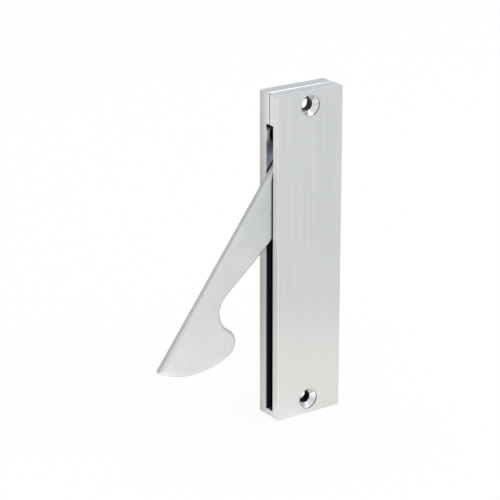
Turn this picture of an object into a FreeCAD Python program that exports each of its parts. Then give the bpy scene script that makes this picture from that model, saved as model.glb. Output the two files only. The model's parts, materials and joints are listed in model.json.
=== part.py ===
"""Pocket door pull: a slotted case in two halves, with a flat lever that swings out of its narrow face.

Origin at the centre of the case's rear face. +X points away from the slotted narrow face, +Y points
into the door behind the case and +Z points up. Millimetres and degrees. The lever stands open.
"""
import FreeCAD, Part
import math
import os

# Lever: heights are taken from its tip and widths from its straight outer edge, with the lever closed.
lever_thickness = 3.0
lever_open_angle = 36.08
pivot_inset = 10.0
tip_drop = 75.9
tip_radius = 0.5
nose_rise = 17.7
nose_reach = 21.8
nose_radius = 5.2
underside_radius = 26.5
notch_radius = 7.2
neck_rise = 30.8
neck_width = 8.44
arm_width = 18.5
heel_radius = 3.0
tail_radius = 17.9
tail_corner_radius = 1.5
lever_edge_radius = 1.2

# Room for the lever in the case
tip_room = 2.7
underside_clearance = 0.55
nose_clearance = 0.4
tail_clearance = 0.55
stop_clearance = 0.3
cavity_corner_radius = 2.0

# Case walls round that room
front_wall = 2.55
rear_wall = 3.6
back_wall = 2.8
foot_wall = 2.6
head_wall = 10.35
front_pocket_depth = 2.25
case_corner_radius = 0.6
case_edge_radius = 0.15
front_seam_chamfer = 0.4
rear_seam_chamfer = 0.55
slot_front_chamfer = 0.1
slot_rear_radius = 0.5

# Round relief in the slot's rear wall, just under the slot's head
relief_diameter = 7.0
relief_inset = 4.75
relief_drop = 3.8
relief_depth = 2.4

# Pivot pin and friction washers
pin_diameter = 4.0
pin_front_skin = 1.0
pin_rear_skin = 1.4
pin_end_chamfer = 0.3
pin_end_clearance = 0.1
pin_seat_clearance = 0.02
pin_running_clearance = 0.05
washer_diameter = 9.0
washer_thickness = 0.4
washer_running_gap = 0.025

# Mounting screw holes, and the cored-out room behind each of them in the rear half
screw_hole_diameter = 4.0
screw_hole_margin = 5.0
countersink_diameter = 7.0
countersink_rim = 0.45
core_left = 2.3
core_right = 6.0
core_below = 4.0
core_above = 2.2
core_corner_radius = 1.5

# Screws that hold the halves together, put in from the rear
case_screw_diameter = 2.5
case_screw_head_diameter = 4.4
case_screw_slot_inset = 5.0
case_screw_back_inset = 3.2
case_screw_front_skin = 1.2
case_screw_clearance = 0.02
case_screw_end_clearance = 0.2
socket_width = 1.5
socket_depth = 0.7

# A cutter runs this far past the face that it opens
overrun = 1.0

# Worked-out sizes
lever_side_clearance = washer_thickness + washer_running_gap
slot_width = lever_thickness + 2 * lever_side_clearance
cavity_depth = nose_reach + nose_clearance
case_width = cavity_depth + back_wall
front_half_depth = front_wall + front_pocket_depth
rear_half_depth = slot_width - front_pocket_depth + rear_wall
case_depth = front_half_depth + rear_half_depth
pivot_height = foot_wall + tip_room + tip_drop
slot_head_height = pivot_height + tail_radius + tail_clearance
case_height = slot_head_height + head_wall
stop_reach = cavity_depth - pivot_inset - stop_clearance

# Places in the part's frame
slot_face_x = -case_width / 2
front_face_y = -case_depth
seam_y = front_face_y + front_half_depth
slot_front_y = front_face_y + front_wall
slot_rear_y = slot_front_y + slot_width
lever_front_y = slot_front_y + lever_side_clearance
lever_rear_y = lever_front_y + lever_thickness
foot_z = -case_height / 2
head_z = case_height / 2
slot_foot_z = foot_z + foot_wall
slot_head_z = foot_z + slot_head_height
pivot_x = slot_face_x + pivot_inset
pivot_z = foot_z + pivot_height
screw_hole_heights = (foot_z + screw_hole_margin, head_z - screw_hole_margin)
case_screw_slot_x = slot_face_x + case_screw_slot_inset
case_screw_back_x = case_width / 2 - case_screw_back_inset
case_screw_places = (
    (case_screw_slot_x, screw_hole_heights[1]),
    (case_screw_back_x, screw_hole_heights[1]),
    (case_screw_back_x, screw_hole_heights[0]),
)

across = FreeCAD.Vector(0, 1, 0)


def point(x, z, y=0.0):
    return FreeCAD.Vector(x, y, z)


def heading(angle):
    """Unit vector in the lever's plane, at an angle from +X towards +Z."""
    return point(math.cos(math.radians(angle)), math.sin(math.radians(angle)))


def prism(edges, near_y, far_y):
    """Solid between two planes, from an outline drawn at y = 0."""
    solid = Part.Face(Part.Wire(edges)).extrude(across * (far_y - near_y))
    solid.translate(across * near_y)
    return solid


def cylinder(x, z, near_y, far_y, diameter):
    return Part.makeCylinder(diameter / 2, far_y - near_y, point(x, z, near_y), across)


def cone(x, z, near_y, far_y, near_diameter, far_diameter):
    return Part.makeCone(near_diameter / 2, far_diameter / 2, far_y - near_y, point(x, z, near_y), across)


def rectangle(left, right, low, high, near_y, far_y, corner_radius):
    """Block with its four edges across the case rounded."""
    block = Part.makeBox(right - left, far_y - near_y, high - low, point(left, low, near_y))
    return block.makeFillet(corner_radius, edges_across(block))


def edges_across(solid):
    """Straight edges that run from the front to the rear."""
    found = []
    for edge in solid.Edges:
        run = edge.Vertexes[-1].Point - edge.Vertexes[0].Point
        if run.Length > 0 and abs(run.normalize().dot(across)) > 0.999:
            found.append(edge)
    return found


def edges_at(solid, y):
    """Edges that lie in one plane across the case."""
    slack = 1e-4
    return [edge for edge in solid.Edges
            if abs(edge.BoundBox.YMin - y) < slack and abs(edge.BoundBox.YMax - y) < slack]


def nearest_edge(edges, place):
    """Edge across the case that is nearest to a place in the lever's plane."""
    return min(edges, key=lambda edge: math.hypot(edge.CenterOfMass.x - place.x, edge.CenterOfMass.z - place.z))


def line(start, end):
    return Part.LineSegment(start, end).toShape()


def arc(centre, start, end):
    """Shorter arc about a centre."""
    middle = (start - centre) + (end - centre)
    middle.normalize()
    return Part.Arc(start, centre + middle * (start - centre).Length, end).toShape()


def circle_crossing(first, first_radius, second, second_radius):
    """Point at both distances from two centres, to the left on the way from the first to the second."""
    gap = second - first
    along = (first_radius ** 2 - second_radius ** 2 + gap.Length ** 2) / (2 * gap.Length)
    aside = math.sqrt(first_radius ** 2 - along ** 2)
    gap.normalize()
    return first + gap * along + gap.cross(across) * aside


def line_crossing(start, direction, other_start, other_direction):
    """Point where two lines in the lever's plane meet."""
    normal = other_direction.cross(across)
    return start + direction * ((other_start - start).dot(normal) / direction.dot(normal))


# Closed lever: the places that its outline and its room in the case share
pivot = point(pivot_x, pivot_z)
tip = point(slot_face_x, pivot_z - tip_drop)
nose = point(slot_face_x + nose_reach - nose_radius, tip.z + nose_rise)
underside = circle_crossing(tip, underside_radius, nose, underside_radius - nose_radius)


def lever_plate():
    """Closed lever as a flat plate with its outline's corners still sharp, and those corners."""
    shoulder = point(slot_face_x + arm_width, pivot_z)
    neck = point(slot_face_x + neck_width, tip.z + neck_rise)
    arm_run = neck - shoulder
    arm_run.normalize()
    arm_out = arm_run.cross(across)
    offset_start = shoulder + arm_out * notch_radius
    nearest = offset_start + arm_run * (nose - offset_start).dot(arm_run)
    back_off = math.sqrt((nose_radius + notch_radius) ** 2 - (nose - nearest).Length ** 2)
    notch = nearest - arm_run * back_off

    stop_out = heading(lever_open_angle)
    stop_run = heading(lever_open_angle + 90)
    stop_foot = pivot + stop_out * stop_reach
    heel = line_crossing(shoulder, arm_run, stop_foot, stop_run)
    tail_back = stop_foot + stop_run * math.sqrt(tail_radius ** 2 - stop_reach ** 2)
    tail_front = point(slot_face_x, pivot_z + math.sqrt(tail_radius ** 2 - pivot_inset ** 2))

    underside_end = underside + (nose - underside).normalize() * underside_radius
    nose_end = nose + (notch - nose).normalize() * nose_radius
    notch_end = notch - arm_out * notch_radius
    outline = [
        arc(underside, tip, underside_end),
        arc(nose, underside_end, nose_end),
        arc(notch, nose_end, notch_end),
        line(notch_end, heel),
        line(heel, tail_back),
        arc(pivot, tail_back, tail_front),
        line(tail_front, tip),
    ]
    corners = ((tip, tip_radius), (heel, heel_radius),
               (tail_back, tail_corner_radius), (tail_front, tail_corner_radius))
    return prism(outline, lever_front_y, lever_rear_y), corners


def lever():
    """Lever with rounded corners and edges and its pivot bore, swung to the open stop."""
    plate, corners = lever_plate()
    for corner, radius in corners:
        plate = plate.makeFillet(radius, [nearest_edge(edges_across(plate), corner)])
    rims = edges_at(plate, lever_front_y) + edges_at(plate, lever_rear_y)
    plate = plate.makeFillet(lever_edge_radius, rims)
    bore = cylinder(pivot_x, pivot_z, slot_front_y, slot_rear_y, pin_diameter + 2 * pin_running_clearance)
    plate = plate.cut(bore)
    plate.rotate(pivot, across, lever_open_angle)
    return plate


def lever_room():
    """Space that the lever swings in, with its floor sloping up clear of the lever's underside."""
    foot = point(slot_face_x, slot_foot_z)
    to_underside = underside - foot
    slope = math.atan2(to_underside.z, to_underside.x)
    slope -= math.asin((underside_radius + underside_clearance) / to_underside.Length)
    back_x = slot_face_x + cavity_depth
    mouth_x = slot_face_x - overrun
    floor_front = point(mouth_x, slot_foot_z - overrun * math.tan(slope))
    floor_back = point(back_x, slot_foot_z + cavity_depth * math.tan(slope))
    roof_back = point(back_x, slot_head_z)
    roof_front = point(mouth_x, slot_head_z)
    outline = [
        line(floor_front, floor_back),
        line(floor_back, roof_back),
        line(roof_back, roof_front),
        line(roof_front, floor_front),
    ]
    room = prism(outline, slot_front_y, slot_rear_y)
    for corner in (floor_back, roof_back):
        room = room.makeFillet(cavity_corner_radius, [nearest_edge(edges_across(room), corner)])
    return room.fuse(slot_mouth())


def slot_mouth():
    """Breaks the slot's long edges on the narrow face: a fine chamfer in front, a rounding behind."""
    outer_x = slot_face_x - overrun
    front_inner = FreeCAD.Vector(slot_face_x + slot_front_chamfer, slot_front_y, slot_foot_z)
    front_outer = FreeCAD.Vector(outer_x, slot_front_y - slot_front_chamfer - overrun, slot_foot_z)
    rear_inner = FreeCAD.Vector(slot_face_x + slot_rear_radius, slot_rear_y, slot_foot_z)
    rear_edge = FreeCAD.Vector(slot_face_x, slot_rear_y + slot_rear_radius, slot_foot_z)
    rear_outer = FreeCAD.Vector(outer_x, rear_edge.y, slot_foot_z)
    centre = FreeCAD.Vector(rear_inner.x, rear_edge.y, slot_foot_z)
    profile = Part.Face(Part.Wire([
        line(front_inner, front_outer),
        line(front_outer, rear_outer),
        line(rear_outer, rear_edge),
        arc(centre, rear_edge, rear_inner),
        line(rear_inner, front_inner),
    ]))
    return profile.extrude(point(0, slot_head_z - slot_foot_z))


def half_blank(near_y, far_y, outer_y, seam_chamfer):
    """Plain half of the case: soft edges on its outer face, a chamfer all round its seam."""
    blank = Part.makeBox(case_width, far_y - near_y, case_height, point(slot_face_x, foot_z, near_y))
    blank = blank.makeFillet(case_corner_radius, edges_across(blank))
    blank = blank.makeFillet(case_edge_radius, edges_at(blank, outer_y))
    return blank.makeChamfer(seam_chamfer, edges_at(blank, seam_y))


def mounting_hole(z):
    """Countersunk hole with a short straight rim, through the front half."""
    cone_near_y = front_face_y + countersink_rim
    cone_far_y = cone_near_y + (countersink_diameter - screw_hole_diameter) / 2
    rim = cylinder(0, z, front_face_y - overrun, cone_near_y, countersink_diameter)
    sink = cone(0, z, cone_near_y, cone_far_y, countersink_diameter, screw_hole_diameter)
    hole = cylinder(0, z, cone_near_y, seam_y + overrun, screw_hole_diameter)
    return rim.fuse([sink, hole])


def screw_core(z):
    """Cored-out room behind a mounting hole, through the rear half."""
    return rectangle(-core_left, core_right, z - core_below, z + core_above,
                     seam_y - overrun, overrun, core_corner_radius)


def wall_relief():
    """Blind round relief in the rear wall of the slot."""
    return cylinder(slot_face_x + relief_inset, slot_head_z - relief_drop, seam_y, slot_rear_y + relief_depth,
                    relief_diameter)


def pin_seat():
    """Blind bores for the pivot pin in both halves."""
    return cylinder(pivot_x, pivot_z, front_face_y + pin_front_skin, -pin_rear_skin,
                    pin_diameter + 2 * pin_seat_clearance)


def case_screw_shape(x, z, spare, end_y):
    """Countersunk screw shape with its flat head at the rear face, grown all round by a clearance."""
    shank = case_screw_diameter + 2 * spare
    head = case_screw_head_diameter + 2 * spare
    head_near_y = -(head - shank) / 2
    body = cylinder(x, z, end_y, 0, shank)
    return body.fuse(cone(x, z, head_near_y, 0, shank, head))


def hexagon_socket(x, z):
    """Six-sided driving recess in a case screw's head."""
    corner_radius = socket_width / math.sqrt(3)
    corners = [point(x, z) + heading(60 * turn) * corner_radius for turn in range(7)]
    sides = [line(start, end) for start, end in zip(corners, corners[1:])]
    return prism(sides, -socket_depth, overrun)


def case_screws():
    """Screws that clamp the rear half to the front half."""
    end_y = front_face_y + case_screw_front_skin + case_screw_end_clearance
    return Part.makeCompound([case_screw_shape(x, z, 0, end_y).cut(hexagon_socket(x, z))
                              for x, z in case_screw_places])


def case_screw_holes():
    end_y = front_face_y + case_screw_front_skin
    return [case_screw_shape(x, z, case_screw_clearance, end_y) for x, z in case_screw_places]


def front_half():
    blank = half_blank(front_face_y, seam_y, front_face_y, front_seam_chamfer)
    holes = [mounting_hole(z) for z in screw_hole_heights]
    return blank.cut([lever_room(), pin_seat()] + holes + case_screw_holes())


def rear_half():
    blank = half_blank(seam_y, 0, 0, rear_seam_chamfer)
    cores = [screw_core(z) for z in screw_hole_heights]
    return blank.cut([lever_room(), wall_relief(), pin_seat()] + cores + case_screw_holes())


def pivot_pin():
    near_y = front_face_y + pin_front_skin + pin_end_clearance
    far_y = -pin_rear_skin - pin_end_clearance
    pin = cylinder(pivot_x, pivot_z, near_y, far_y, pin_diameter)
    return pin.makeChamfer(pin_end_chamfer, edges_at(pin, near_y) + edges_at(pin, far_y))


def washer(near_y):
    """Friction washer on the pivot pin, seated on a wall of the slot."""
    far_y = near_y + washer_thickness
    bore = pin_diameter + 2 * pin_running_clearance
    return cylinder(pivot_x, pivot_z, near_y, far_y, washer_diameter).cut(
        cylinder(pivot_x, pivot_z, near_y, far_y, bore))


nodes = {
    "front_half": front_half(),
    "rear_half": rear_half(),
    "lever": lever(),
    "pivot_pin": pivot_pin(),
    "front_washer": washer(slot_front_y),
    "rear_washer": washer(slot_rear_y - washer_thickness),
    "case_screws": case_screws(),
}

os.makedirs("parts", exist_ok=True)
for name, shape in nodes.items():
    shape.exportStep("parts/" + name + ".step")
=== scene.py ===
"""Looks of the pocket door pull: brushed case, satin lever, plain steel fittings, white studio."""
import bpy
import json
import math
from mathutils import Matrix, Quaternion, Vector


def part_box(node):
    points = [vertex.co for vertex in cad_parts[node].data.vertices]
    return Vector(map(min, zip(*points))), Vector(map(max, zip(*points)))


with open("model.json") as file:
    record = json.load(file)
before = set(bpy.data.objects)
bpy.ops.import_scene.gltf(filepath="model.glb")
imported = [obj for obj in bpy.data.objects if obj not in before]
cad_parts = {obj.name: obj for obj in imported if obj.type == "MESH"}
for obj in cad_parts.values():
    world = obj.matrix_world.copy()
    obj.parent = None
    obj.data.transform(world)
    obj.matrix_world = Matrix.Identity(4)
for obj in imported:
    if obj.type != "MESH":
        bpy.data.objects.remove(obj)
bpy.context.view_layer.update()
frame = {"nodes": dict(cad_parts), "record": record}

# Photograph: square image, focal length in its pixels, and where the camera stands (metres, degrees)
IMAGE_PIXELS = 500
FOCAL_PIXELS = 1990.45
SENSOR_MM = 36.0
CAMERA_AZIMUTH = -33.949
CAMERA_ELEVATION = 19.616
CAMERA_ROLL = -0.110
CAMERA_DISTANCE = 0.62551
CAMERA_TARGET = Vector((-0.02297, -0.0100, 0.00664))
CAMERA_NEAR = 0.01

# Places on the part (metres)
CASE_LOW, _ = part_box("front_half")
SEAM_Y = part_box("front_half")[1].y
SLOT_FRONT_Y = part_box("front_washer")[0].y
SLOT_REAR_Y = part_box("rear_washer")[1].y
SLOT_LOW_Z, SLOT_HIGH_Z = -0.0524, 0.04465
SLOT_EDGE_RADIUS = 0.0005
SLOT_EDGE_Y = SLOT_REAR_Y + SLOT_EDGE_RADIUS
SLOT_BACK_X = 0.0097
RELIEF_FLOOR_Y = -0.0011
HOLE = frame["record"]["mounts"][0]["dims"]
HOLE_Z = HOLE["spacing_y_mm"] / 2000
HOLE_RADIUS = HOLE["hole_r_mm"] / 1000
SINK_RADIUS = 0.0035
SINK_FLOOR_Y = -0.00805
CORE_LOW, CORE_HIGH = Vector((-0.0023, -0.0040)), Vector((0.0060, 0.0022))
PIVOT = (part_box("pivot_pin")[0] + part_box("pivot_pin")[1]) / 2
LEVER_OUT_X, LEVER_OUT_Z = -0.808, 0.589  # square to the open lever's straight edge
CASE_SCREWS = ((-0.0075, 0.0500), (0.0093, 0.0500), (0.0093, -0.0500))
SOCKET_RADIUS = 0.00088
HAIR = 0.00001  # a finish runs a few of these past the face that it ends at

# Tints
NEUTRAL = (1.0, 1.0, 1.0)
COOL, WARM = (0.93, 0.99, 1.12), (1.03, 1.0, 0.97)
NAVY, SEPIA = (0.80, 0.92, 1.45), (1.25, 0.95, 0.78)

# Ramps: which way they run, and how hard they cut a noise
RISE, FALL = (0.0, 1.0), (1.0, 0.0)
CRISP, SOFT = (0.35, 0.65), (0.3, 0.7)
NOISE_MIDDLE = 0.5

# Sockets of a Mix node, for colours and for numbers: its two inputs and its output
MIX_SOCKETS = {"RGBA": (6, 7, 2), "FLOAT": (2, 3, 0)}


def shade(level, tint=NEUTRAL):
    return tuple(level * part for part in tint) + (1.0,)


class Nodes:
    """Short ways to add and link the nodes of one tree."""

    def __init__(self, tree):
        self.tree = tree

    def add(self, kind, **settings):
        node = self.tree.nodes.new(kind)
        for key, value in settings.items():
            setattr(node, key, value)
        return node

    def feed(self, socket, value):
        if isinstance(value, bpy.types.NodeSocket):
            self.tree.links.new(value, socket)
        else:
            socket.default_value = value

    def calc(self, operation, *values, clamp=False):
        node = self.add("ShaderNodeMath", operation=operation, use_clamp=clamp)
        for socket, value in zip(node.inputs, values):
            self.feed(socket, value)
        return node.outputs[0]

    def chain(self, operation, values):
        result = values[0]
        for value in values[1:]:
            result = self.calc(operation, result, value)
        return result

    def product(self, *values):
        return self.chain("MULTIPLY", values)

    def most(self, *values):
        return self.chain("MAXIMUM", values)

    def least(self, *values):
        return self.chain("MINIMUM", values)

    def minus(self, first, second):
        return self.calc("SUBTRACT", first, second)

    def size(self, value):
        return self.calc("ABSOLUTE", value)

    def all_but(self, share, value):
        """1 less a share of a value."""
        return self.minus(1.0, self.product(value, share))

    def distance(self, first, second):
        """Length of a step that goes so far along two axes."""
        squares = self.calc("ADD", self.calc("POWER", first, 2.0), self.calc("POWER", second, 2.0))
        return self.calc("SQRT", squares)

    def span(self, value, stretch, to=RISE):
        """Eases one stretch of values into another, held at both ends."""
        node = self.add("ShaderNodeMapRange", interpolation_type="SMOOTHSTEP")
        for key, number in zip(("From Min", "From Max", "To Min", "To Max"), (*stretch, *to)):
            node.inputs[key].default_value = number
        self.feed(node.inputs["Value"], value)
        return node.outputs["Result"]

    def between(self, value, low, high, edge=2 * HAIR):
        """1 from low to high, easing to 0 over an edge outside them."""
        return self.product(self.span(value, (low - edge, low)),
                            self.span(value, (high, high + edge), FALL))

    def mixed(self, kind, factor, first, second, how="MIX"):
        node = self.add("ShaderNodeMix", data_type=kind, blend_type=how)
        first_input, second_input, output = MIX_SOCKETS[kind]
        self.feed(node.inputs["Factor"], factor)
        self.feed(node.inputs[first_input], first)
        self.feed(node.inputs[second_input], second)
        return node.outputs[output]

    def mix(self, factor, first, second):
        """Colour between two colours."""
        return self.mixed("RGBA", factor, first, second)

    def tint(self, factor, colour, filter_colour):
        """Colour multiplied by another colour, as far as the factor says."""
        return self.mixed("RGBA", factor, colour, filter_colour, "MULTIPLY")

    def blend(self, factor, first, second):
        """Number between two numbers."""
        return self.mixed("FLOAT", factor, first, second)

    def vector(self, x, y, z):
        node = self.add("ShaderNodeCombineXYZ")
        for socket, value in zip(node.inputs, (x, y, z)):
            self.feed(socket, value)
        return node.outputs[0]

    def parts(self, vector):
        node = self.add("ShaderNodeSeparateXYZ")
        self.feed(node.inputs[0], vector)
        return node.outputs

    def grain(self, vector, cycles, detail=3.0, roughness=0.6):
        """Noise with so many cycles per millimetre along each axis."""
        mapping = self.add("ShaderNodeMapping")
        mapping.inputs["Scale"].default_value = [1000 * number for number in cycles]
        self.feed(mapping.inputs["Vector"], vector)
        noise = self.add("ShaderNodeTexNoise")
        noise.inputs["Scale"].default_value = 1.0
        noise.inputs["Detail"].default_value = detail
        noise.inputs["Roughness"].default_value = roughness
        self.feed(noise.inputs["Vector"], mapping.outputs[0])
        return noise.outputs["Fac"]


class Finish(Nodes):
    """One material made of nodes."""

    def __init__(self, name):
        self.material = bpy.data.materials.new(name)
        self.material.use_nodes = True
        super().__init__(self.material.node_tree)
        self.tree.nodes.clear()
        self.output = self.add("ShaderNodeOutputMaterial")

    def places(self):
        """Object coordinates with their three parts, and the surface's direction in three parts."""
        coordinate = self.add("ShaderNodeTexCoord").outputs
        return coordinate["Object"], self.parts(coordinate["Object"]), self.parts(coordinate["Normal"])

    def metal(self, colour, roughness, height, depth, anisotropic=0.0):
        shader = self.add("ShaderNodeBsdfPrincipled")
        shader.inputs["Metallic"].default_value = 1.0
        shader.inputs["Anisotropic"].default_value = anisotropic
        relief = self.add("ShaderNodeBump")
        relief.inputs["Distance"].default_value = depth
        self.feed(relief.inputs["Height"], height)
        self.feed(shader.inputs["Base Color"], colour)
        self.feed(shader.inputs["Roughness"], roughness)
        self.feed(shader.inputs["Normal"], relief.outputs[0])
        self.feed(self.output.inputs["Surface"], shader.outputs[0])


class BrushedCase(Finish):
    """Satin metal brushed along its height, with turned countersinks and a dull inside, dark partly as
    painted shade; light and shade are also painted on its narrow faces, edges, seam and countersinks.
    """

    FRONT_LEVEL, REAR_LEVEL = 0.75, 0.71
    RELIEF, ANISOTROPY = 0.000008, 0.7

    # How squarely a surface faces sideways, up or down, or at a slant between those and the front
    ON_SIDE, ON_END = (0.8, 0.95), (0.6, 0.8)
    ON_SLANT, ON_CORNER, OFF_FRONT = (0.25, 0.45), (0.15, 0.40), (0.2, 0.4)

    # Brush streaks: cycles per millimetre up the sides and along the ends, and what they do
    FINE_UP, FINE_ALONG, FINE_DETAIL = (3.0, 3.0, 0.04), (0.06, 4.0, 4.0), 4.0
    BROAD_UP, BROAD_ALONG, BROAD_DETAIL = (0.7, 0.7, 0.012), (0.02, 0.9, 0.9), 2.0
    BROAD_SHARE = 0.42
    FADE_Z, FADE = (-0.035, -0.010), (0.50, 1.0)
    DARK_STREAK, PALE_STREAK = 0.955, 1.035
    ROUGHNESS = (0.30, 0.40)

    # Narrow faces: painted sheen, lighter towards the top; a painted warm colour cast; and scuffs at
    # the foot
    HANDLED_Y = (SEAM_Y + 0.0005, -0.0004)
    HANDLED_Z, HANDLED = (-0.050, -0.015), (0.25, 1.0)
    POLISH_Z, LOW_POLISH, HIGH_POLISH = (0.015, 0.045), 1.24, 1.31
    PATINA_Y = (SLOT_EDGE_Y, -0.0006)
    FRONT_PATINA, REAR_PATINA = (1.0, 0.987, 0.965), (1.0, 0.972, 0.935)
    SCUFFED_Z, SCUFF_CYCLES = (-0.0535, -0.0500), (0.5, 0.5, 0.5)
    DARK_SCUFF, PALE_SCUFF = 0.74, 0.96

    # Painted shade on the rounded front edges, painted highlights on the rounded corners and on the
    # chamfers beside the seam, and painted shade at the seam's root
    SLANT_TONE, CORNER_TONE, WORN_TONE, WORN_ROUGHNESS = 0.93, 0.90, 0.80, 0.22
    WORN_BEHIND_SEAM = (SEAM_Y + 0.0006, SEAM_Y + 0.0007)
    WORN_BEFORE_SEAM = (SEAM_Y - 0.0006, SEAM_Y - 0.0005)
    WORN_ELSEWHERE = 0.12
    SCUFFED_WEAR, SCUFFED_GRIME = 0.8, 0.6
    # painted shade at the root of the seam
    GRIME_REACH, GRIME_TONE = (0.00027, 0.00037), 0.06

    # Countersinks and holes
    RING_CYCLES, RING_TURN, RING_ROUGHNESS = (9.0, 9.0, 0.0), 0.0002, (0.19, 0.28)
    CHATTER_CYCLES, CHATTER_TURN = (2.2, 0.0, 0.03), 0.001
    TURNED_DETAIL = 2.0
    DARK_CHATTER, PALE_CHATTER = 0.60, 0.88
    # painted shade on the rims and inside the holes
    RIM_TONE, RIM_TINT = 0.36, (1.0, 0.97, 0.94)
    HOLE_TONE, INSIDE_ROUGHNESS = 0.15, 0.55

    # Inside: bare casting, dark partly as painted shade; a painted sheen band and painted light on the
    # rear wall of the slot; painted shadows in the slot
    CAST_CYCLES, CAST_DETAIL = (1.4, 1.4, 1.4), 4.0
    LOWER_SLOT_Z = (0.004, 0.020)
    UPPER_ENTRY, LOWER_ENTRY = (0.0001, 0.0008), (-0.00012, 0.00095)
    DARK_CAST, PALE_CAST = 0.30, 0.38
    DARK_CORE, PALE_CORE = 0.38, 0.48
    # painted sheen band across the slot's rear wall
    RUBBED_LOW_Z, RUBBED_HIGH_Z, RUBBED_EDGE, RUBBED_TONE = 0.0405, 0.0420, 0.0025, 0.86
    # painted light on the slot's lower rear wall, lighter deeper in
    WALL_Z, WALL_X = (0.0370, 0.0330), (CASE_LOW.x + 0.0006, CASE_LOW.x + 0.0022)
    OUTER_WALL, INNER_WALL = 0.50, 0.80
    # painted shadows in the slot: their colours, and where they fall
    SOOT_X, OUTER_SOOT, INNER_SOOT = (CASE_LOW.x + 0.0008, CASE_LOW.x + 0.0030), 0.045, 0.012
    HEAD_SOOT_TINT_Z, HEAD_SOOT = (0.0360, 0.0400), 0.025
    HEAD_SOOT_Z = (0.0420, 0.0436)
    LEVER_SOOT_REACH = (0.00945, 0.00990)
    RELIEF_SOOT_Y = (SLOT_REAR_Y + 3 * HAIR, SLOT_REAR_Y + 0.0003)

    def __init__(self, name, level):
        super().__init__(name)
        self.level = level
        self.spot, (self.x, self.y, self.z), facing = self.places()
        self.sideways, self.frontal, self.upright = [self.size(part) for part in facing]
        self.on_side = self.span(self.sideways, self.ON_SIDE)
        self.scuffed = self.span(self.z, self.SCUFFED_Z, FALL)
        streaks = self.brush()
        self.handle()
        self.wear()
        in_sink, rings = self.countersink()
        inside, cast = self.line()
        self.soil_seam()
        height = self.blend(in_sink, self.blend(inside, streaks, cast), rings)
        self.metal(self.colour, self.roughness, height, self.RELIEF, self.ANISOTROPY)

    def brush(self):
        """Streaks up the sides and along the two ends, fainter towards the foot."""
        on_end = self.span(self.upright, self.ON_END)
        fine = self.blend(on_end, self.grain(self.spot, self.FINE_UP, self.FINE_DETAIL),
                          self.grain(self.spot, self.FINE_ALONG, self.FINE_DETAIL))
        broad = self.blend(on_end, self.grain(self.spot, self.BROAD_UP, self.BROAD_DETAIL),
                           self.grain(self.spot, self.BROAD_ALONG, self.BROAD_DETAIL))
        streaks = self.blend(self.BROAD_SHARE, fine, broad)
        streaks = self.blend(self.span(self.z, self.FADE_Z, self.FADE), NOISE_MIDDLE, streaks)
        self.colour = self.mix(self.span(streaks, CRISP), shade(self.level * self.DARK_STREAK),
                               shade(self.level * self.PALE_STREAK))
        self.roughness = self.span(streaks, SOFT, self.ROUGHNESS)
        return streaks

    def handle(self):
        """Painted sheen makes the narrow faces lighter towards the top, a painted warm cast tints them,
        and the foot is scuffed.
        """
        handled = self.product(self.on_side, self.span(self.y, self.HANDLED_Y, FALL),
                               self.span(self.z, self.HANDLED_Z, self.HANDLED))
        # painted sheen: the narrow faces are lifted well above the front's level, more towards the top
        polish = self.mix(self.span(self.z, self.POLISH_Z), shade(self.level * self.LOW_POLISH),
                          shade(self.level * self.HIGH_POLISH))
        self.colour = self.mix(handled, self.colour, polish)
        # painted warm colour cast on the narrow faces
        patina = self.mix(self.span(self.y, self.PATINA_Y), shade(1.0, self.FRONT_PATINA),
                          shade(1.0, self.REAR_PATINA))
        self.colour = self.tint(self.on_side, self.colour, patina)
        scuffs = self.span(self.grain(self.spot, self.SCUFF_CYCLES), CRISP)
        self.colour = self.tint(self.product(self.on_side, self.scuffed), self.colour,
                                self.mix(scuffs, shade(self.DARK_SCUFF), shade(self.PALE_SCUFF)))

    def wear(self):
        """Painted shade on the rounded front edges, a painted highlight on the rounded corners, and a
        painted highlight on the chamfers beside the seam.
        """
        slant = self.product(self.frontal, self.most(self.sideways, self.upright))
        slant = self.span(slant, self.ON_SLANT)
        # painted shade along the rounded edges between the front and the sides or ends
        self.colour = self.tint(slant, self.colour, shade(self.SLANT_TONE))
        # painted highlight on the rounded corners
        corner = self.span(self.product(self.sideways, self.upright), self.ON_CORNER)
        self.colour = self.mix(corner, self.colour, shade(self.CORNER_TONE))
        # painted highlight on the seam's chamfers, faint on the other slanted edges, with lower
        # roughness there
        worn = self.product(slant,
                            self.span(self.y, self.WORN_BEHIND_SEAM, (1.0, self.WORN_ELSEWHERE)),
                            self.span(self.y, self.WORN_BEFORE_SEAM, (self.WORN_ELSEWHERE, 1.0)),
                            self.all_but(self.SCUFFED_WEAR, self.scuffed))
        self.colour = self.mix(worn, self.colour, shade(self.WORN_TONE))
        self.roughness = self.blend(worn, self.roughness, self.WORN_ROUGHNESS)

    def countersink(self):
        """Turned countersinks with painted shade on their rim walls, and the holes below them, painted
        dark as shade.
        """
        rise = self.minus(self.size(self.z), HOLE_Z)
        radius = self.distance(self.x, rise)
        turn = self.calc("ARCTAN2", rise, self.x)
        in_sink = self.product(self.between(radius, 0.0, SINK_RADIUS + 2 * HAIR),
                               self.between(self.y, CASE_LOW.y + 4 * HAIR, SINK_FLOOR_Y))
        rings = self.grain(self.vector(radius, self.product(turn, self.RING_TURN), self.y),
                           self.RING_CYCLES, self.TURNED_DETAIL)
        chatter = self.grain(self.vector(self.product(turn, self.CHATTER_TURN), 0.0, self.z),
                             self.CHATTER_CYCLES, self.TURNED_DETAIL)
        turned = self.mix(self.span(chatter, CRISP), shade(self.DARK_CHATTER),
                          shade(self.PALE_CHATTER))
        self.colour = self.mix(in_sink, self.colour, turned)
        self.roughness = self.blend(in_sink, self.roughness,
                                    self.span(rings, SOFT, self.RING_ROUGHNESS))
        # painted shade on the rim walls
        rim = self.product(in_sink, self.span(self.frontal, self.OFF_FRONT, FALL))
        self.colour = self.mix(rim, self.colour, shade(self.RIM_TONE, self.RIM_TINT))
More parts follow.
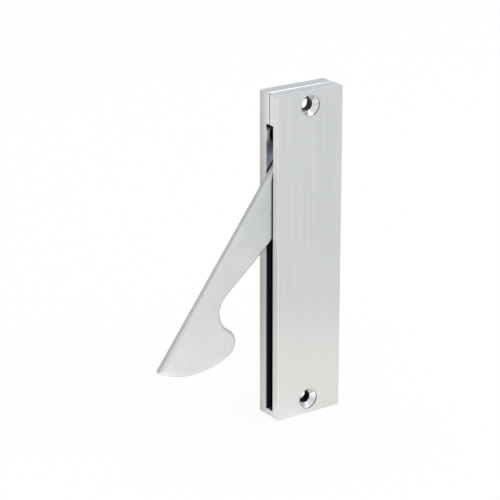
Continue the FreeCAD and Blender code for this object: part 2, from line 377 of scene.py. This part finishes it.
        # painted shade inside the holes
        in_hole = self.product(self.between(radius, 0.0, HOLE_RADIUS + 3 * HAIR),
                               self.span(self.y, (SINK_FLOOR_Y - 2 * HAIR, SINK_FLOOR_Y + 2 * HAIR)))
        self.colour = self.mix(in_hole, self.colour, shade(self.HOLE_TONE, SEPIA))
        self.roughness = self.blend(in_hole, self.roughness, self.INSIDE_ROUGHNESS)
        return in_sink, rings

    def line(self):
        """Casting in the slot and in the rooms behind the screw holes, dark partly as painted shade,
        with painted light and painted shadows in the slot.
        """
        cast = self.grain(self.spot, self.CAST_CYCLES, self.CAST_DETAIL)
        lower = self.span(self.z, self.LOWER_SLOT_Z, FALL)
        in_slot = self.slot(lower)
        in_core = self.cores()
        inside = self.most(in_slot, in_core)
        mottle = self.span(cast, SOFT)
        # bare casting, its darkness partly painted shade
        bare = self.mix(mottle, shade(self.DARK_CAST, COOL), shade(self.PALE_CAST, COOL))
        # painted sheen band across the slot's rear wall
        rubbed = self.between(self.z, self.RUBBED_LOW_Z, self.RUBBED_HIGH_Z, self.RUBBED_EDGE)
        bare = self.mix(rubbed, bare, shade(self.RUBBED_TONE))
        # painted light: the slot's lower rear wall is lighter deeper in
        wall = self.mix(self.span(self.x, self.WALL_X), shade(self.OUTER_WALL, COOL),
                        shade(self.INNER_WALL, COOL))
        bare = self.mix(self.span(self.z, self.WALL_Z), bare, wall)
        # rooms behind the screw holes, their darkness partly painted shade
        bare = self.mix(in_core, bare,
                        self.mix(mottle, shade(self.DARK_CORE), shade(self.PALE_CORE)))
        # painted shadow colours: navy low in the slot and beside the lever, brown-black at the slot's
        # head
        sooty = self.mix(self.span(self.x, self.SOOT_X), shade(self.OUTER_SOOT, NAVY),
                         shade(self.INNER_SOOT))
        sooty = self.mix(self.span(self.z, self.HEAD_SOOT_TINT_Z), sooty,
                         shade(self.HEAD_SOOT, SEPIA))
        # painted shadows in the slot
        soot = self.product(self.soot(lower), in_slot)
        self.colour = self.mix(inside, self.colour, self.mix(soot, bare, sooty))
        self.roughness = self.blend(inside, self.roughness, self.INSIDE_ROUGHNESS)
        return inside, cast

    def slot(self, lower):
        """1 in the slot, past the rounding of its rear edge."""
        entry = self.minus(self.minus(self.x, CASE_LOW.x), self.minus(self.y, SLOT_EDGE_Y))
        return self.product(
            self.blend(lower, self.span(entry, self.UPPER_ENTRY), self.span(entry, self.LOWER_ENTRY)),
            self.between(self.x, CASE_LOW.x, SLOT_BACK_X + 5 * HAIR),
            self.between(self.y, SLOT_FRONT_Y - 3 * HAIR, RELIEF_FLOOR_Y),
            self.between(self.z, SLOT_LOW_Z - 3 * HAIR, SLOT_HIGH_Z + 3 * HAIR))

    def cores(self):
        """1 in the rooms behind the screw holes."""
        heights = [self.between(self.z, hole_z + CORE_LOW.y - 3 * HAIR, hole_z + CORE_HIGH.y + 3 * HAIR)
                   for hole_z in (-HOLE_Z, HOLE_Z)]
        return self.product(self.between(self.x, CORE_LOW.x - 3 * HAIR, CORE_HIGH.x + 3 * HAIR),
                            self.most(*heights),
                            self.between(self.y, SEAM_Y - 2 * HAIR, -5 * HAIR))

    def soot(self, lower):
        """Painted shadow: 1 low in the slot, at its head, beside the open lever and in the relief."""
        lever_edge = self.calc("ADD", self.product(self.minus(self.x, PIVOT.x), LEVER_OUT_X),
                               self.product(self.minus(self.z, PIVOT.z), LEVER_OUT_Z))
        return self.most(lower, self.span(self.z, self.HEAD_SOOT_Z),
                         self.span(lever_edge, self.LEVER_SOOT_REACH, FALL),
                         self.span(self.y, self.RELIEF_SOOT_Y))

    def soil_seam(self):
        """Painted shade in the gap at the root of the seam."""
        root = self.span(self.size(self.minus(self.y, SEAM_Y)), self.GRIME_REACH, FALL)
        grime = self.product(root, self.all_but(self.SCUFFED_GRIME, self.scuffed))
        self.colour = self.mix(grime, self.colour, shade(self.GRIME_TONE))


class SatinLever(Finish):
    """Finely blasted satin metal, with painted shade towards the pivot and where it enters the slot,
    and a painted highlight at its tip.
    """

    FINE_CYCLES, FINE_DETAIL = (5.0, 5.0, 5.0), 4.0
    CLOUD_CYCLES, CLOUD_SHARE = (0.09, 0.09, 0.09), 0.4
    DARK, PALE, TINT = 0.695, 0.805, (1.01, 1.0, 0.985)
    # painted shade towards the pivot and where the lever enters the slot; painted highlight at the tip
    ARM_REACH, ARM_TONE, ARM_TINT = (0.014, 0.034), 0.93, (0.95, 0.985, 1.0)
    SMUDGE_IN = (CASE_LOW.x - 0.0018, CASE_LOW.x + 0.0010)
    SMUDGE_OUT = (CASE_LOW.x + 0.0030, CASE_LOW.x + 0.0080)
    SMUDGE_TONE, SMUDGE_TINT = 0.79, (0.93, 0.99, 1.06)
    TIP_REACH, FACING_DOWN, TIP_TONE = (0.0720, 0.0758), (0.0, 0.3), 0.84
    ROUGHNESS, RELIEF = (0.34, 0.42), 0.000006

    def __init__(self):
        super().__init__("satin_lever")
        spot, (x, _, z), (_, _, facing_z) = self.places()
        fine = self.grain(spot, self.FINE_CYCLES, self.FINE_DETAIL)
        cloud = self.grain(spot, self.CLOUD_CYCLES)
        colour = self.mix(self.span(self.blend(self.CLOUD_SHARE, fine, cloud), SOFT),
                          shade(self.DARK, self.TINT), shade(self.PALE, self.TINT))
        reach = self.distance(self.minus(x, PIVOT.x), self.minus(z, PIVOT.z))
        # painted shade towards the pivot
        colour = self.tint(self.span(reach, self.ARM_REACH, FALL), colour,
                           shade(self.ARM_TONE, self.ARM_TINT))
        # painted shade where the lever enters the slot
        smudged = self.product(self.span(x, self.SMUDGE_IN), self.span(x, self.SMUDGE_OUT, FALL))
        colour = self.tint(smudged, colour, shade(self.SMUDGE_TONE, self.SMUDGE_TINT))
        # painted highlight on the tip's lower rounding
        thumbed = self.product(self.span(reach, self.TIP_REACH),
                               self.span(facing_z, self.FACING_DOWN, FALL))
        colour = self.mix(thumbed, colour, shade(self.TIP_TONE, WARM))
        self.metal(colour, self.span(fine, SOFT, self.ROUGHNESS), fine, self.RELIEF)


class PlainSteel(Finish):
    """Turned steel of the screws, the pin and the washers, with painted shade in the screw sockets."""

    RING_CYCLES = (7.0, 0.0, 2.0)
    DARK, PALE, SOCKET_TONE = 0.52, 0.64, 0.18
    ROUGHNESS, RELIEF = (0.24, 0.36), 0.00001

    def __init__(self):
        super().__init__("plain_steel")
        _, (x, y, z), _ = self.places()
        radius = self.least(*[self.distance(self.minus(x, screw_x), self.minus(z, screw_z))
                              for screw_x, screw_z in CASE_SCREWS])
        rings = self.grain(self.vector(radius, 0.0, y), self.RING_CYCLES)
        # painted shade in the screw sockets
        in_socket = self.product(self.between(radius, 0.0, SOCKET_RADIUS),
                                 self.span(y, (-4 * HAIR, -2 * HAIR), FALL))
        colour = self.mix(self.span(rings, SOFT), shade(self.DARK), shade(self.PALE))
        colour = self.mix(in_socket, colour, shade(self.SOCKET_TONE))
        self.metal(colour, self.span(rings, SOFT, self.ROUGHNESS), rings, self.RELIEF)


def dress(nodes, finish):
    """Gives solids their finish through their material slots."""
    for node in nodes:
        for slot in frame["nodes"][node].material_slots:
            slot.material = finish.material


dress(["front_half"], BrushedCase("brushed_front_half", BrushedCase.FRONT_LEVEL))
dress(["rear_half"], BrushedCase("brushed_rear_half", BrushedCase.REAR_LEVEL))
dress(["lever"], SatinLever())
dress(["pivot_pin", "front_washer", "rear_washer", "case_screws"], PlainSteel())


def camera():
    data = bpy.data.cameras.new("camera")
    data.sensor_width = SENSOR_MM
    data.lens = FOCAL_PIXELS * SENSOR_MM / IMAGE_PIXELS
    data.clip_start = CAMERA_NEAR
    azimuth, elevation = math.radians(CAMERA_AZIMUTH), math.radians(CAMERA_ELEVATION)
    back = Vector((math.sin(azimuth) * math.cos(elevation),
                   -math.cos(azimuth) * math.cos(elevation),
                   math.sin(elevation)))
    view = bpy.data.objects.new("camera", data)
    view.location = CAMERA_TARGET + back * CAMERA_DISTANCE
    view.rotation_mode = "QUATERNION"
    roll = Quaternion(Vector((0, 0, 1)), math.radians(CAMERA_ROLL))
    view.rotation_quaternion = (-back).to_track_quat("-Z", "Y") @ roll
    bpy.context.scene.collection.objects.link(view)
    bpy.context.scene.camera = view


# Floor: its size, what the camera sees of it, and the glow that the metal sees in it by distance and
# direction
FLOOR_SIZE = 8.0
FLOOR_GLOW, FLOOR_GLOW_SHARE, FLOOR_MATT = 1.02, 0.85, 0.88
FRONT_AWAY = (0.070, 0.105)
NEAR_FRONT, NEAR_FRONT_TINT = 1.05, (1.005, 0.995, 0.945)
FAR_FRONT, FAR_FRONT_TINT = 0.88, (0.975, 1.0, 1.015)
LEFT_TO_RIGHT, LEFT_FRONT = (-0.4, 0.45), 1.20
BEHIND_AWAY, NEAR_BEHIND, FAR_BEHIND = (0.03, 0.12), 0.82, 0.52
HORIZON_AWAY, HORIZON = (0.22, 0.32), 0.78
FRONT_TO_BACK = (-0.35, 0.35)


def floor():
    """White floor that glows. To the metal its glow is painted light, brightest just in front of the
    case and greyer behind it.
    """
    finish = Finish("floor")
    _, (x, y, _), _ = finish.places()
    path = finish.add("ShaderNodeLightPath").outputs
    seen = finish.most(path["Is Camera Ray"], path["Is Glossy Ray"], path["Is Transmission Ray"])
    away = finish.distance(x, y)
    right = finish.calc("DIVIDE", x, away)
    back = finish.calc("DIVIDE", y, away)
    front = finish.mix(finish.span(away, FRONT_AWAY), shade(NEAR_FRONT, NEAR_FRONT_TINT),
                       shade(FAR_FRONT, FAR_FRONT_TINT))
    front = finish.mix(finish.span(right, LEFT_TO_RIGHT), shade(LEFT_FRONT), front)
    behind = finish.mix(finish.span(away, BEHIND_AWAY), shade(NEAR_BEHIND, WARM),
                        shade(FAR_BEHIND, WARM))
    behind = finish.mix(finish.span(away, HORIZON_AWAY), behind, shade(HORIZON))
    metal_sees = finish.mix(finish.span(back, FRONT_TO_BACK), front, behind)
    glow = finish.add("ShaderNodeEmission")
    finish.feed(glow.inputs["Color"],
                finish.mix(path["Is Camera Ray"], metal_sees, shade(FLOOR_GLOW)))
    matt = finish.add("ShaderNodeBsdfDiffuse")
    matt.inputs["Color"].default_value = shade(FLOOR_MATT)
    surface = finish.add("ShaderNodeMixShader")
    finish.feed(surface.inputs[0], finish.product(seen, FLOOR_GLOW_SHARE))
    finish.feed(surface.inputs[1], matt.outputs[0])
    finish.feed(surface.inputs[2], glow.outputs[0])
    finish.feed(finish.output.inputs["Surface"], surface.outputs[0])
    bpy.ops.mesh.primitive_plane_add(size=FLOOR_SIZE)
    plane = bpy.context.object
    plane.data.transform(Matrix.Translation((0, 0, CASE_LOW.z)))
    plane.name = "floor"
    plane.data.materials.append(finish.material)


# Surroundings: strengths, and the stretches of direction over which they change
SKY_FRONT, SKY_BEHIND = 0.91, (0.59, 0.74)
SKY_SIDE_TURN, SKY_DEPTH_TURN = (-0.4, 0.4), (-0.6, 0.6)
OVERHEAD_RISE, OVERHEAD = (0.55, 0.80), (0.0, 1.15)
ZENITH_RISE, ZENITH = (0.86, 0.97), (1.0, 0.55)
SKY_TINT_TURN, SKY_TINT = (-0.2, 0.5), (0.94, 1.0, 1.06)


def studio():
    """Soft white surroundings, brighter overhead and in front than behind."""
    world = bpy.data.worlds.new("studio")
    world.use_nodes = True
    sky = Nodes(world.node_tree)
    background = sky.tree.nodes["Background"]
    right, back, up = sky.parts(sky.add("ShaderNodeTexCoord").outputs["Generated"])
    in_sight = sky.add("ShaderNodeLightPath").outputs["Is Camera Ray"]
    depth = sky.blend(sky.span(back, SKY_DEPTH_TURN), SKY_FRONT,
                      sky.span(right, SKY_SIDE_TURN, SKY_BEHIND))
    overhead = sky.product(sky.span(up, OVERHEAD_RISE, OVERHEAD), sky.span(up, ZENITH_RISE, ZENITH))
    sky.feed(background.inputs["Strength"], sky.most(depth, overhead, in_sight))
    tinted = sky.calc("SUBTRACT", sky.span(right, SKY_TINT_TURN), in_sight, clamp=True)
    sky.feed(background.inputs["Color"], sky.mix(tinted, shade(1.0), shade(1.0, SKY_TINT)))
    bpy.context.scene.world = world


# Lamp over the right of the case (metres)
LAMP_PLACE, LAMP_AIM = Vector((0.30, -0.20, 1.20)), Vector((0, 0, 0))
LAMP_SIZE, LAMP_RADIANCE = 0.8, 1.2


def overhead_lamp():
    """Square soft lamp."""
    data = bpy.data.lights.new("overhead_lamp", "AREA")
    data.shape = "SQUARE"
    data.size = LAMP_SIZE
    data.energy = LAMP_RADIANCE * math.pi * LAMP_SIZE ** 2
    lamp = bpy.data.objects.new("overhead_lamp", data)
    lamp.location = LAMP_PLACE
    lamp.rotation_mode = "QUATERNION"
    lamp.rotation_quaternion = (LAMP_AIM - LAMP_PLACE).to_track_quat("-Z", "Y")
    bpy.context.scene.collection.objects.link(lamp)


camera()
floor()
studio()
overhead_lamp()
bpy.context.scene.view_settings.view_transform = "Standard"
